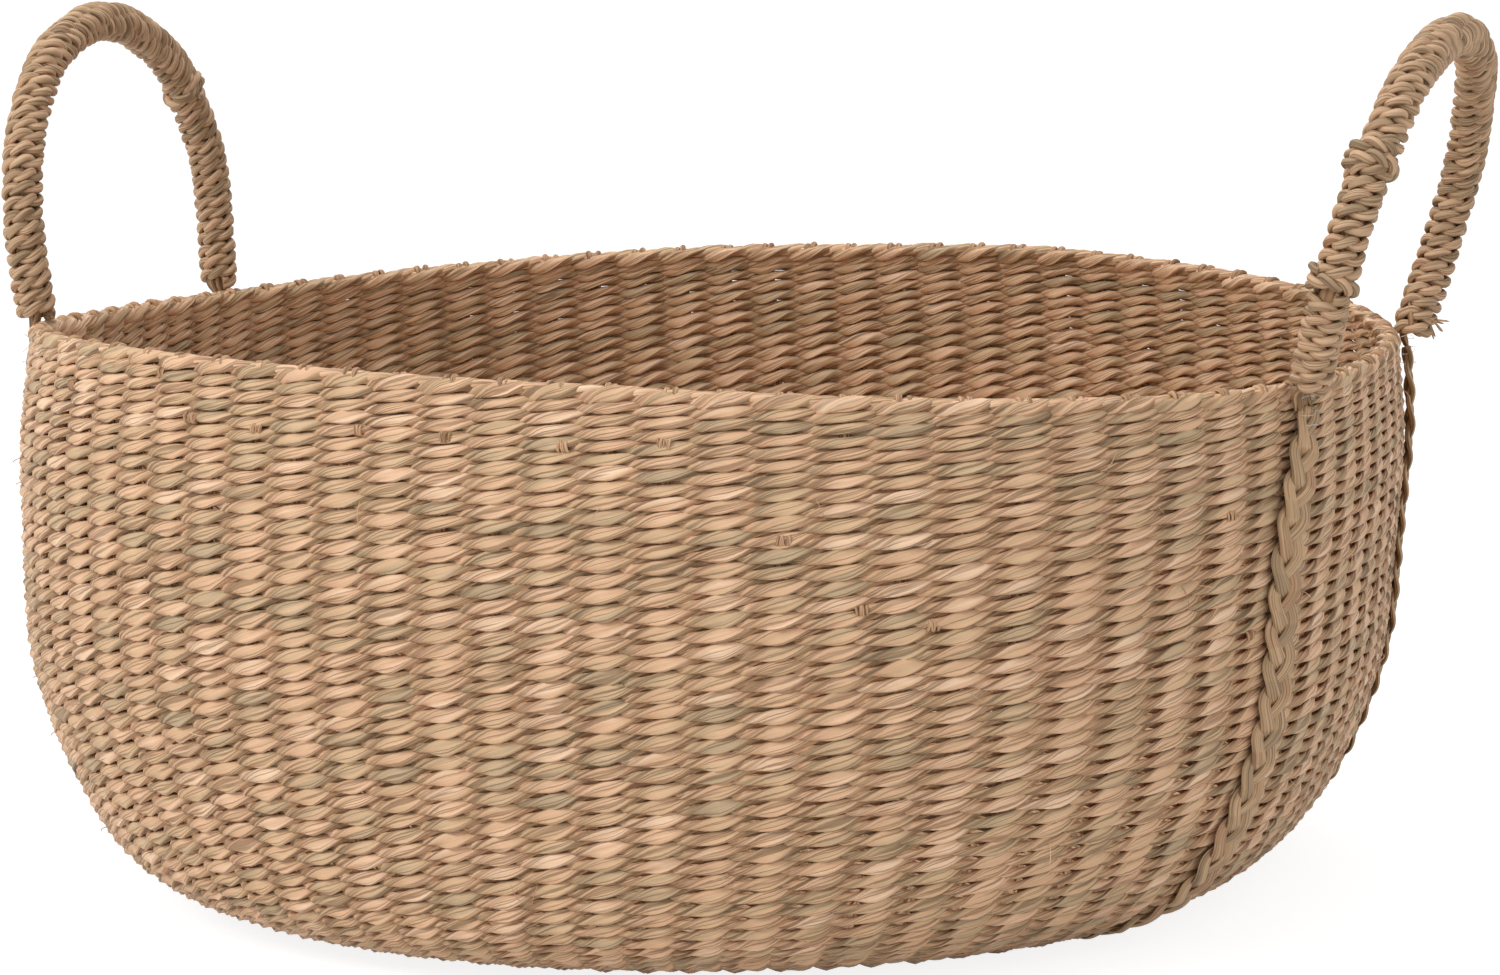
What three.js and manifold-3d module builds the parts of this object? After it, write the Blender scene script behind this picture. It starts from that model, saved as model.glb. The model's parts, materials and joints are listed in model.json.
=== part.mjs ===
// Oval basket twined from dried seagrass, with a twined border, two plaited straps that run down the
// wall and under the base, and two loop handles whose fibre cores are wound with cord.
// Millimetres. X runs along the basket's long axis, Y across it and Z up. The origin is the centre of
// the underside, on the plane that the basket stands on.

import * as THREE from 'three';
import Module from 'manifold-3d';

const wasm = await Module();
wasm.setup();

// The gap that pieces keep where they touch on the real basket
const seatGap = 0.3;

// Woven body: its widest halves, the height of the rim's upper edge, and the thickness of the weave
const bodyHalfLength = 250;
const bodyHalfWidth = 219;
const rimHeight = 201;
const wallThickness = 7;
const floorThickness = 8.5;
// 2 is an ellipse, and more squares the corners of the oval
const ovalPower = 2.375;

// Outline of the wall, in shares of the rim's height, the half length and the half width
const outlineShares = [
  [0, 0.668, 0.685],
  [0.017, 0.72, 0.813],
  [0.05, 0.784, 0.9],
  [0.1, 0.842, 0.945],
  [0.2, 0.9, 0.973],
  [0.4, 0.963, 0.995],
  [0.6, 0.983, 1],
  [0.8, 0.993, 0.986],
  [0.93, 0.983, 0.957],
  [1, 0.974, 0.936],
];

// How far the handmade rim leaves a level plane: a slope along X, a dip at both ends, a twist between
// the corners, and a ripple with three crests
const rimSlope = 2.4;
const rimEndDip = 5;
const rimTwist = 3.1;
const rimRipple = 1.6;

// Border: the last twined row, thicker than the rest, with one scallop for each stake it locks
const stakeCount = 82;
const borderHalfWidth = 4.3;
const borderHalfHeight = 3.4;
const borderScallop = 0.6;

// Straps: flat plaits that run from foot to foot, outside the wall and under the base
const strapHalfWidth = 7.5;
const strapHalfThickness = 2.5;
const strapWallGap = 0.4;
const strapGroundGap = 0.15;
const strapChannelGap = 0.35;
// Where a strap leaves its straight run and where it reaches its foot, in shares of the rim's height
const strapTurnShare = 0.7;
const strapFootShare = 0.95;
const strapTurnPower = 1.5;

// Handle feet: bare fibre necks on or just outside the border, which the loops tilt on
const neckRadius = 2.8;

// Handle loops: a fibre core wound with flattened cord
const coreRadius = 3.4;
const cordHalfThickness = 2.1;
const wrapPitch = 6.9;
const cordSideGap = 0.75;
const wrapJoinGap = 1.2;
const footWrapLength = 32;

// Each loop: the distances from the basket's long axis of its feet and of the straps below them, how far
// its feet stand outside the wall and where its winding starts above them, its height and lean, its
// outline in shares of its half width and height, and the share of its length where the winding is joined
const handles = {
  left: {
    end: -1,
    nearFoot: 74,
    farFoot: 85,
    nearStrap: 50,
    farStrap: 86,
    nearOut: 0.5,
    farOut: 2,
    wrapFootGap: 1.5,
    height: 104,
    lean: THREE.MathUtils.degToRad(5.4),
    loopShares: [[1, 0], [1.04, 0.25], [0.98, 0.5], [0.77, 0.76], [0.5, 0.91]],
    joinShare: 0.58,
  },
  right: {
    end: 1,
    nearFoot: 81,
    farFoot: 80,
    nearStrap: 105,
    farStrap: 107,
    nearOut: 4.5,
    farOut: 6.5,
    wrapFootGap: 4.8,
    height: 115.5,
    lean: THREE.MathUtils.degToRad(16.1),
    loopShares: [[1, 0], [1.15, 0.2], [1.13, 0.48], [0.925, 0.75], [0.61, 0.92]],
    joinShare: 0.5,
  },
};

// Colours of the dried grass where it is woven, plaited and twisted to cord
const wovenColor = 0xc9a57e;
const borderColor = 0xd0b086;
const strapColor = 0xa88a62;
const coreColor = 0x9c8058;
const cordColor = 0xa98b67;
const wovenRoughness = 0.85;
const cordRoughness = 0.8;

// Number of points, sides and steps in the meshes
const ovalPoints = 72;
const outlineSamples = 240;
const borderSides = 6;
const strapSides = 6;
const coreSides = 8;
const coreSteps = 30;
const wrapSteps = 8;
const cordSides = 5;
const probeShare = 0.002;

// The distance of a flat side of a many-sided section from its middle
function flatOf(halfSize, sides) {
  return halfSize * Math.cos(Math.PI / sides);
}

const borderFlat = flatOf(borderHalfHeight, borderSides);
const wallTopShare = 1 - (2 * borderFlat + seatGap) / rimHeight;

// Heights of the rings of the body, in shares of the height of its wall
const outerRingShares = [0, 0.01, 0.022, 0.042, 0.072, 0.115, 0.175, 0.26, 0.37, 0.5, 0.64, 0.77, 0.87, 0.95, 1];
const innerRingShares = [1, 0.95, 0.87, 0.75, 0.6, 0.43, 0.29, 0.185, 0.11, 0.06, 0.022, 0];

const outlineTable = new THREE.CatmullRomCurve3(
  outlineShares.map(([height, length, width]) => new THREE.Vector3(height, length, width)),
  false,
  'centripetal',
).getSpacedPoints(outlineSamples);

// The outline at a share of the rim's height: x holds that share, y the length and z the width
function outlineAt(heightShare) {
  const last = outlineTable.length - 1;
  const found = outlineTable.findIndex((point) => point.x >= heightShare);
  const upper = THREE.MathUtils.clamp(found < 0 ? last : found, 1, last);
  const low = outlineTable[upper - 1];
  const high = outlineTable[upper];
  return low.clone().lerp(high, (heightShare - low.x) / (high.x - low.x));
}

function squared(value) {
  return Math.sign(value) * Math.abs(value) ** (2 / ovalPower);
}

function rimLift(angle) {
  return -rimSlope * Math.cos(angle) - rimEndDip * Math.cos(2 * angle)
    + rimTwist * Math.sin(2 * angle) - rimRipple * Math.sin(3 * angle);
}

// A point of the outer wall, or of a surface that lies some way inside it
function wallPoint(angle, heightShare, inset = 0) {
  const outline = outlineAt(heightShare);
  return new THREE.Vector3(
    (bodyHalfLength * outline.y - inset) * squared(Math.cos(angle)),
    (bodyHalfWidth * outline.z - inset) * squared(Math.sin(angle)),
    heightShare * (rimHeight + rimLift(angle)),
  );
}

// The point of the wall at one end of the basket that lies at a distance y from the long axis
function wallPointAt(end, y, heightShare) {
  const halfWidth = bodyHalfWidth * outlineAt(heightShare).z;
  const sine = Math.sign(y) * Math.abs(y / halfWidth) ** (ovalPower / 2);
  const angle = end > 0 ? Math.asin(sine) : Math.PI - Math.asin(sine);
  return wallPoint(angle, heightShare);
}

function wallNormalAt(end, y, heightShare) {
  const low = wallPointAt(end, y, Math.max(heightShare - probeShare, 0));
  const up = wallPointAt(end, y, heightShare + probeShare).sub(low);
  const probe = bodyHalfWidth * probeShare;
  const across = wallPointAt(end, y + probe, heightShare).sub(wallPointAt(end, y - probe, heightShare));
  return across.cross(up).multiplyScalar(end).normalize();
}

function meshGeometry(positions, index) {
  const geometry = new THREE.BufferGeometry();
  geometry.setAttribute('position', new THREE.Float32BufferAttribute(positions, 3));
  geometry.setIndex(index);
  geometry.computeVertexNormals();
  return geometry;
}

// A solid made of rings of points from a first pole to a last one
function ringedSolid(firstPole, rings, lastPole) {
  const count = rings[0].length;
  const points = [firstPole, ...rings.flat(), lastPole];
  const last = points.length - 1;
  const index = [];
  for (let k = 0; k < count; k += 1) {
    const next = (k + 1) % count;
    index.push(0, 1 + next, 1 + k);
    for (let ring = 0; ring < rings.length - 1; ring += 1) {
      const low = 1 + ring * count;
      const high = low + count;
      index.push(low + k, low + next, high + next);
      index.push(low + k, high + next, high + k);
    }
    index.push(last, last - count + k, last - count + next);
  }
  return meshGeometry(points.flatMap((point) => point.toArray()), index);
}

// The points of one section of a sweep, with a flat side towards its first direction
function sectionPoints({ centre, first, second, halfFirst, halfSecond }, sides) {
  return Array.from({ length: sides }, (_, k) => {
    const angle = (2 * Math.PI * (k + 0.5)) / sides;
    return centre.clone()
      .addScaledVector(first, halfFirst * Math.cos(angle))
      .addScaledVector(second, halfSecond * Math.sin(angle));
  });
}

// A solid swept through stations. Each has a centre, a half size in each of two directions, and those
// directions, whose cross product points along the sweep.
function sweptSolid(stations, sides, closed = false) {
  const points = stations.flatMap((station) => sectionPoints(station, sides));
  const index = [];
  const spans = closed ? stations.length : stations.length - 1;
  for (let span = 0; span < spans; span += 1) {
    const low = span * sides;
    const high = ((span + 1) % stations.length) * sides;
    for (let k = 0; k < sides; k += 1) {
      const next = (k + 1) % sides;
      index.push(low + k, low + next, high + next);
      index.push(low + k, high + next, high + k);
    }
  }
  if (!closed) {
    const top = (stations.length - 1) * sides;
    for (let k = 1; k < sides - 1; k += 1) {
      index.push(0, k + 1, k);
      index.push(top, top + k, top + k + 1);
    }
  }
  return meshGeometry(points.flatMap((point) => point.toArray()), index);
}

// The direction of a line of points at one of them
function directionAt(points, i) {
  const before = points[Math.max(i - 1, 0)];
  const after = points[Math.min(i + 1, points.length - 1)];
  return after.clone().sub(before).normalize();
}

function solidOf(geometry) {
  return new wasm.Manifold(new wasm.Mesh({
    numProp: 3,
    vertProperties: new Float32Array(geometry.attributes.position.array),
    triVerts: new Uint32Array(geometry.index.array),
  }));
}

function geometryOf(solid) {
  const { vertProperties, triVerts } = solid.getMesh();
  return meshGeometry(Array.from(vertProperties), Array.from(triVerts));
}

const basket = new THREE.Group();
basket.name = 'magazine_basket';

function addPiece(name, geometry, color, roughness) {
  const material = new THREE.MeshStandardMaterial({ color, roughness, metalness: 0 });
  const mesh = new THREE.Mesh(geometry, material);
  mesh.name = name;
  basket.add(mesh);
}

// The places of one handle on one side of the basket
function placesOf(handle, side) {
  const { end, nearFoot, farFoot, nearStrap, farStrap, nearOut, farOut } = handle;
  return side < 0
    ? { end, foot: -nearFoot, strap: -nearStrap, out: nearOut }
    : { end, foot: farFoot, strap: farStrap, out: farOut };
}

// Feet: a handle stands on two fibre necks, and this is the middle of one, on the axis of the tilt. It
// rests on the round of the border, whose section is taken as an oval here.
const besideBorder = borderHalfWidth + borderScallop + neckRadius + seatGap;
const footRoom = { out: besideBorder + seatGap, up: borderFlat + neckRadius + 2 * seatGap };

function footPoint({ end, foot, out }) {
  const outward = wallNormalAt(end, foot, wallTopShare).setZ(0).normalize();
  const outShare = Math.min(out + wallThickness / 2, besideBorder) / footRoom.out;
  const rise = seatGap + borderFlat + footRoom.up * Math.sqrt(1 - outShare ** 2);
  return wallPointAt(end, foot, wallTopShare)
    .addScaledVector(outward, out)
    .add(new THREE.Vector3(0, 0, rise));
}

// Straps: one half of a plait runs from the middle of the base out, up the wall and in to a foot
const strapFlat = flatOf(strapHalfThickness, strapSides);
const strapGroundShares = [0, 0.35, 0.7, 1];
const channelHeightShare = 0.15;
const strapWallShares = [0.03, 0.05, 0.08, 0.12, 0.18, 0.26, 0.36, 0.46, 0.56, 0.64, 0.72, 0.78, 0.83, 0.88];

function strapHalf(places, middleY) {
  const { end, foot, strap } = places;
  const wide = { halfWidth: strapHalfWidth, halfThickness: strapHalfThickness };
  const narrow = { halfWidth: neckRadius, halfThickness: neckRadius };
  const groundHeight = strapFlat + strapGroundGap;
  const baseEdge = wallPointAt(end, strap, 0).setZ(groundHeight);
  const middle = new THREE.Vector3(0, middleY, groundHeight);
  const onGround = strapGroundShares.map((share) => ({
    centre: middle.clone().lerp(baseEdge, share),
    outward: new THREE.Vector3(0, 0, -1),
    ...wide,
  }));
  const onWall = strapWallShares.map((share) => {
    const turned = Math.max((share - strapTurnShare) / (strapFootShare - strapTurnShare), 0);
    const y = THREE.MathUtils.lerp(strap, foot, turned ** strapTurnPower);
    const outward = wallNormalAt(end, y, share);
    const centre = wallPointAt(end, y, share).addScaledVector(outward, strapFlat + strapWallGap);
    centre.setZ(Math.max(centre.z, groundHeight));
    return { centre, outward, ...wide };
  });
  const outward = wallNormalAt(end, foot, wallTopShare).setZ(0).normalize();
  const neckTop = footPoint({ ...places, out: Math.max(places.out, besideBorder - wallThickness / 2) });
  neckTop.sub(new THREE.Vector3(0, 0, neckRadius + seatGap));
  const neckFoot = neckTop.clone().sub(new THREE.Vector3(0, 0, 2 * neckRadius));
  const neck = [neckFoot, neckTop].map((centre) => ({ centre, outward, ...narrow }));
  return [...onGround, ...onWall, ...neck];
}

function strapStations(side, growth) {
  const ends = [placesOf(handles.left, side), placesOf(handles.right, side)];
  const middleY = (ends[0].strap + ends[1].strap) / ends.length;
  const [left, right] = ends.map((places) => strapHalf(places, middleY));
  const line = [...left.slice(1).reverse(), ...right];
  const centres = line.map((station) => station.centre);
  return line.map((station, i) => {
    const along = directionAt(centres, i);
    const across = along.clone().cross(station.outward).normalize();
    return {
      centre: station.centre,
      first: across.clone().cross(along),
      second: across,
      halfFirst: station.halfThickness + growth,
      halfSecond: station.halfWidth + growth,
    };
  });
}

// The room for a strap in the base, which is open below
function channelSolid(side) {
  const stations = strapStations(side, strapChannelGap);
  const low = stations.filter((station) => station.centre.z < channelHeightShare * rimHeight);
  const room = solidOf(sweptSolid(low, strapSides));
  const below = solidOf(sweptSolid(low, strapSides).translate(0, 0, -strapHalfThickness));
  return room.add(below);
}

// Woven body: stakes and wefts are one fabric, with a hollow base edge where each strap lies
function bodySolid() {
  const angles = Array.from({ length: ovalPoints }, (_, k) => (2 * Math.PI * k) / ovalPoints);
  const outer = outerRingShares.map((share) => (
    angles.map((angle) => wallPoint(angle, share * wallTopShare))
  ));
  const inner = innerRingShares.map((share) => angles.map((angle) => {
    const point = wallPoint(angle, share * wallTopShare, wallThickness);
    return point.add(new THREE.Vector3(0, 0, floorThickness * (1 - share)));
  }));
  const underside = new THREE.Vector3(0, 0, 0);
  const floor = new THREE.Vector3(0, 0, floorThickness);
  const whole = solidOf(ringedSolid(underside, [...outer, ...inner], floor));
  return whole.subtract(channelSolid(-1)).subtract(channelSolid(1));
}

addPiece('woven_body', geometryOf(bodySolid()), wovenColor, wovenRoughness);

// Border: a twined ring on the wall's edge, which swells out over the turned-down end of each stake
function borderSolid() {
  const edge = Array.from({ length: ovalPoints }, (_, k) => (
    wallPoint((2 * Math.PI * k) / ovalPoints, wallTopShare, wallThickness / 2)
  ));
  const ring = new THREE.CatmullRomCurve3(edge, true).getSpacedPoints(2 * stakeCount).slice(0, -1);
  const up = new THREE.Vector3(0, 0, 1);
  const stations = ring.map((point, i) => {
    const before = ring[(i + ring.length - 1) % ring.length];
    const along = ring[(i + 1) % ring.length].clone().sub(before).normalize();
    const outward = along.clone().cross(up).normalize();
    return {
      centre: point.clone().add(new THREE.Vector3(0, 0, seatGap + borderFlat)),
      first: outward.clone().cross(along),
      second: outward,
      halfFirst: borderHalfHeight,
      halfSecond: borderHalfWidth + borderScallop * ((i + 1) % 2),
    };
  });
  return sweptSolid(stations, borderSides, true);
}

addPiece('rim_border', borderSolid(), borderColor, wovenRoughness);

addPiece('near_strap', sweptSolid(strapStations(-1, 0), strapSides), strapColor, cordRoughness);
addPiece('far_strap', sweptSolid(strapStations(1, 0), strapSides), strapColor, cordRoughness);

// Loops: the middle line of a handle, in a plane that leans out through its two feet
function loopFrame(handle) {
  const { end, height, lean, loopShares, wrapFootGap } = handle;
  const near = footPoint(placesOf(handle, -1));
  const far = footPoint(placesOf(handle, 1));
  const middle = near.clone().lerp(far, 0.5);
  const halfSpan = near.distanceTo(far) / 2;
  const axis = far.clone().sub(near).normalize();
  const rise = new THREE.Vector3(end * Math.sin(lean), 0, Math.cos(lean));
  rise.addScaledVector(axis, -rise.dot(axis)).normalize();
  const place = (widthShare, heightShare) => middle.clone()
    .addScaledVector(axis, widthShare * halfSpan)
    .addScaledVector(rise, heightShare * height);
  const nearLeg = loopShares.map(([width, up]) => place(-width, up));
  const farLeg = loopShares.map(([width, up]) => place(width, up)).reverse();
  const curve = new THREE.CatmullRomCurve3([...nearLeg, place(0, 1), ...farLeg], false, 'centripetal');
  return { curve, length: curve.getLength(), facing: axis.clone().cross(rise), wrapFootGap };
}

// Core: a bundle of fibre, bare and thinner at its necks, with a round end at each foot
const neckEndShares = [[-0.92, 0.39], [-0.7, 0.71], [-0.38, 0.92], [0, 1]];

function coreSolid({ curve, length, facing, wrapFootGap }) {
  const along = (distance) => curve.getTangentAt(THREE.MathUtils.clamp(distance / length, 0, 1));
  const station = (distance, radius) => {
    const inside = THREE.MathUtils.clamp(distance, 0, length);
    const direction = along(distance);
    const centre = curve.getPointAt(inside / length).addScaledVector(direction, distance - inside);
    return {
      centre,
      first: facing,
      second: direction.clone().cross(facing),
      halfFirst: radius,
      halfSecond: radius,
    };
  };
  const foot = neckEndShares.map(([rise, width]) => [rise * neckRadius, width * neckRadius]);
  const wound = length - 2 * wrapFootGap;
  const middle = Array.from({ length: coreSteps + 1 }, (_, k) => (
    [wrapFootGap + (wound * k) / coreSteps, coreRadius]
  ));
  const end = foot.map(([rise, width]) => [length - rise, width]).reverse();
  return sweptSolid([...foot, ...middle, ...end].map(([at, radius]) => station(at, radius)), coreSides);
}

// Winding: one cord coiled on a stretch of the core, whose cross direction hand sets
const wrapRadius = (coreRadius + seatGap + cordHalfThickness) / Math.cos(Math.PI / wrapSteps);
const cordHalfWidth = (wrapPitch - cordSideGap) / 2;

function windingStations({ curve, length, facing }, start, stop, hand) {
  const turns = Math.round((stop - start) / wrapPitch);
  const steps = turns * wrapSteps;
  const places = Array.from({ length: steps + 1 }, (_, k) => {
    const share = (start + ((stop - start) * k) / steps) / length;
    const angle = (hand * 2 * Math.PI * k) / wrapSteps;
    const side = curve.getTangentAt(share).cross(facing);
    const radial = facing.clone().multiplyScalar(Math.cos(angle)).addScaledVector(side, Math.sin(angle));
    const centre = curve.getPointAt(share).addScaledVector(radial, wrapRadius);
    return { centre, radial };
  });
  const centres = places.map((place) => place.centre);
  return places.map(({ centre, radial }, i) => {
    const across = directionAt(centres, i).cross(radial).normalize();
    return { centre, first: radial, second: across, halfFirst: cordHalfThickness, halfSecond: cordHalfWidth };
  });
}

// The least distance between turns of one winding, over the points of its sections and those halfway
function leastGap(stations) {
  const sections = stations.map((station) => sectionPoints(station, cordSides));
  const points = sections.map((section, i) => {
    const next = sections[Math.min(i + 1, sections.length - 1)];
    return [...section, ...section.map((point, k) => point.clone().lerp(next[k], 0.5))];
  });
  let least = Infinity;
  points.forEach((section, i) => {
    points.slice(i + wrapSteps / 2, i + 2 * wrapSteps).flat().forEach((other) => {
      section.forEach((point) => {
        least = Math.min(least, point.distanceTo(other));
      });
    });
  });
  return least;
}

function addWinding(name, loop, start, stop, hand) {
  const stations = windingStations(loop, start, stop, hand);
  console.log(name, 'least gap to itself', leastGap(stations).toFixed(2), 'mm');
  addPiece(name, sweptSolid(stations, cordSides), cordColor, cordRoughness);
}

const wrapEndRoom = cordHalfWidth + wrapJoinGap / 2;
for (const [side, handle] of Object.entries(handles)) {
  const loop = loopFrame(handle);
  addPiece(`${side}_handle_core`, coreSolid(loop), coreColor, cordRoughness);
  const first = handle.wrapFootGap + cordHalfWidth;
  const last = loop.length - first;
  const join = loop.length * handle.joinShare;
  let start = first;
  if (side === 'right') {
    addWinding('right_winding_foot', loop, first, first + footWrapLength - 2 * cordHalfWidth, -1);
    start = first + footWrapLength - cordHalfWidth + wrapEndRoom + wrapJoinGap / 2;
  }
  addWinding(`${side}_winding_near`, loop, start, join - wrapEndRoom, 1);
  addWinding(`${side}_winding_far`, loop, join + wrapEndRoom, last, 1);
}

export default basket;
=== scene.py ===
# Oval magazine basket twined from dried seagrass, with two plaited straps and two loop handles wound
# with cord. Metres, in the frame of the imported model: X along the basket, Y to its far side, Z up.

import json
import math

import bpy
import numpy as np
from mathutils import Matrix, Vector


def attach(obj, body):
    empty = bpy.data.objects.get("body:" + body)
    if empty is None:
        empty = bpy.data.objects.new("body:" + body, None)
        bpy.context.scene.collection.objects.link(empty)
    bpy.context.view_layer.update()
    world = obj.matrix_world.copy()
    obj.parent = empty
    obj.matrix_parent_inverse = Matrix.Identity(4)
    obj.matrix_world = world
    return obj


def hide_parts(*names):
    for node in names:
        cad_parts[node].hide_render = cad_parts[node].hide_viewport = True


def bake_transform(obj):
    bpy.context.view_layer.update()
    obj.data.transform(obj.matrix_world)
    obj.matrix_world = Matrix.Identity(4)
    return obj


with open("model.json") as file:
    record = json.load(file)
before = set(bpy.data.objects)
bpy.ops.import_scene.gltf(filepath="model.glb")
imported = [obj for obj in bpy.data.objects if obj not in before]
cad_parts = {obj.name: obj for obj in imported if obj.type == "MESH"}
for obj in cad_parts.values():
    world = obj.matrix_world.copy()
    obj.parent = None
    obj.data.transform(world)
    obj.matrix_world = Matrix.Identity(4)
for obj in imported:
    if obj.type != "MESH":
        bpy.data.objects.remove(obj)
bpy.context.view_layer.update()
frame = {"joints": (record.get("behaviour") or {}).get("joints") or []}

MM = 0.001

# Camera
# The photograph is taken from the front, a little from the right and from above, with a long lens. Its
# frame is 1500 by 975 pixels.
frame_width = 1500
focal_pixels = 5177.8
camera_place = Vector((0.6039, -1.7615, 0.4185))
camera_turn = math.radians(18.54)
camera_rise = math.radians(90 - 8.55)
camera_roll = math.radians(-0.72)


def placed(name, data):
    """A new object of the scene."""
    thing = bpy.data.objects.new(name, data)
    bpy.context.scene.collection.objects.link(thing)
    return thing


camera = placed("camera", bpy.data.cameras.new("camera"))
camera.data.lens = camera.data.sensor_width * focal_pixels / frame_width
camera.matrix_world = (
    Matrix.Translation(camera_place)
    @ Matrix.Rotation(camera_turn, 4, "Z")
    @ Matrix.Rotation(camera_rise, 4, "X")
    @ Matrix.Rotation(camera_roll, 4, "Z")
)
bpy.context.scene.camera = camera

# Floor, backdrop and lamps
# A pale floor takes the basket's shadow and shows white to the camera. Three wide lamps and a pale
# world give soft studio light from the front and above.
bpy.context.scene.view_settings.view_transform = "Standard"


class Value:
    """A socket in a node tree. A sum on it adds a Math node, or on vectors a Vector Math node."""

    def __init__(self, nodes, socket):
        self.nodes, self.socket = nodes, socket

    def do(self, operation, *others):
        return self.nodes.math(operation, self, *others)

    def __add__(self, other):
        return self.do("ADD", other)

    def __sub__(self, other):
        return self.do("SUBTRACT", other)

    def __mul__(self, other):
        return self.do("MULTIPLY", other)

    def __truediv__(self, other):
        return self.do("DIVIDE", other)

    def __rsub__(self, other):
        return self.nodes.math("SUBTRACT", other, self)

    def __rtruediv__(self, other):
        return self.nodes.math("DIVIDE", other, self)

    def __neg__(self):
        return self * -1

    __radd__, __rmul__ = __add__, __mul__

    def out(self, name):
        """Another output of the node that this value comes from."""
        return Value(self.nodes, next(s for s in self.socket.node.outputs if s.enabled and s.name == name))

    def parts(self):
        split = self.nodes.node("ShaderNodeSeparateXYZ", {}, {"Vector": self})
        return split, split.out("Y"), split.out("Z")


class Nodes:
    """One node tree. Its node method adds any node: a type, its settings, and the values of its sockets."""

    def __init__(self, tree):
        self.tree = tree

    def node(self, kind, settings=None, inputs=None):
        node = self.tree.nodes.new(kind)
        for name, setting in (settings or {}).items():
            if name == "stops":
                while len(node.color_ramp.elements) < len(setting):
                    node.color_ramp.elements.new(1)
                for element, (place, color) in zip(node.color_ramp.elements, setting):
                    element.position, element.color = place, (*color, 1)
            else:
                setattr(node, name, setting)
        for name, value in (inputs or {}).items():
            by_name = (s for s in node.inputs if s.enabled and s.name == name)
            socket = node.inputs[name] if isinstance(name, int) else next(by_name)
            if isinstance(value, Value):
                self.tree.links.new(value.socket, socket)
            else:
                socket.default_value = value
        shown = [s for s in node.outputs if s.enabled]
        return Value(self, shown[0]) if shown else None

    def math(self, operation, *values):
        vectors = [
            v.socket.type == "VECTOR" if isinstance(v, Value) else isinstance(v, tuple) for v in values
        ]
        if not any(vectors):
            return self.node("ShaderNodeMath", {"operation": operation}, dict(enumerate(values)))
        if operation == "MULTIPLY" and not all(vectors):
            vector, scale = values if vectors[0] else values[::-1]
            return self.node("ShaderNodeVectorMath", {"operation": "SCALE"}, {0: vector, "Scale": scale})
        return self.node("ShaderNodeVectorMath", {"operation": operation}, dict(enumerate(values)))

    def vector(self, x, y, z):
        return self.node("ShaderNodeCombineXYZ", {}, {"X": x, "Y": y, "Z": z})

    def mix(self, kind, share, first, second, blend="MIX"):
        settings = {"data_type": kind, "clamp_factor": True}
        if kind == "RGBA":
            settings["blend_type"] = blend
        return self.node("ShaderNodeMix", settings, {"Factor": share, "A": first, "B": second})

    def ramp(self, value, low, high, first=0.0, second=1.0):
        """A smooth step from a first number to a second one as a value goes from low to high."""
        ends = {"Value": value, "From Min": low, "From Max": high, "To Min": first, "To Max": second}
        return self.node("ShaderNodeMapRange", {"interpolation_type": "SMOOTHSTEP"}, ends)

    def noise(self, place, detail=1.0):
        """A smooth random number, about a half, that changes over a length of 1."""
        inputs = {"Vector": place, "Scale": 1.0, "Detail": detail}
        return self.node("ShaderNodeTexNoise", {"noise_dimensions": "3D"}, inputs)

    def chance(self, *numbers):
        """Three random numbers from 0 to 1 for each set of whole numbers."""
        inputs = {"Vector": self.vector(*[*numbers, 0.0, 0.0][:3])}
        return self.node("ShaderNodeTexWhiteNoise", {"noise_dimensions": "3D"}, inputs).out("Color").parts()


def linear(red, green, blue):
    """A colour given as it looks on a screen, from 0 to 255, in the numbers that shaders use."""
    shares = [part / 255 for part in (red, green, blue)]
    return tuple(s / 12.92 if s <= 0.04045 else ((s + 0.055) / 1.055) ** 2.4 for s in shares)


def shader(name, finish):
    """A new material: itself, its nodes and its Principled shader, with the given values of its sockets."""
    material = bpy.data.materials.new(name)
    material.use_nodes = True
    surface = material.node_tree.nodes["Principled BSDF"]
    for socket, value in finish.items():
        surface.inputs[socket].default_value = value
    return material, Nodes(material.node_tree), surface


def seen_directly(nodes):
    """1 where the camera sees a surface, straight or by way of a mirror or glass, and otherwise 0."""
    light_path = nodes.node("ShaderNodeLightPath")
    seen = light_path.out("Is Camera Ray").do("MAXIMUM", light_path.out("Is Glossy Ray"))
    return seen.do("MAXIMUM", light_path.out("Is Transmission Ray"))


floor_reach = 6.0
floor_color = (0.86, 0.86, 0.86, 1.0)
floor_glow = 1.43
floor_glow_share = 0.6
white = (1.0, 1.0, 1.0, 1.0)
floor_material, nodes, plain = shader(
    "pale_floor", {"Base Color": floor_color, "Roughness": 0.9, "Specular IOR Level": 0.1})
glow = nodes.node("ShaderNodeEmission", {}, {"Color": white, "Strength": floor_glow})
blend = nodes.node("ShaderNodeMixShader", {}, {
    0: seen_directly(nodes) * floor_glow_share, 1: Value(nodes, plain.outputs["BSDF"]), 2: glow})
material_out = floor_material.node_tree.nodes["Material Output"]
floor_material.node_tree.links.new(blend.socket, material_out.inputs["Surface"])

corners = [(x * floor_reach, y * floor_reach, 0) for x, y in ((-1, -1), (1, -1), (1, 1), (-1, 1))]
floor_mesh = bpy.data.meshes.new("floor")
floor_mesh.from_pydata(corners, [], [(0, 1, 2, 3)])
floor_mesh.materials.append(floor_material)
placed("floor", floor_mesh)

# The world looks white and lights the basket with about half of that
world_light = 0.55
world = bpy.data.worlds.new("studio")
bpy.context.scene.world = world
world.use_nodes = True
sky = world.node_tree.nodes["Background"]
strength = seen_directly(Nodes(world.node_tree)) * (1 - world_light) + world_light
world.node_tree.links.new(strength.socket, sky.inputs["Strength"])
sky.inputs["Color"].default_value = white

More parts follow.
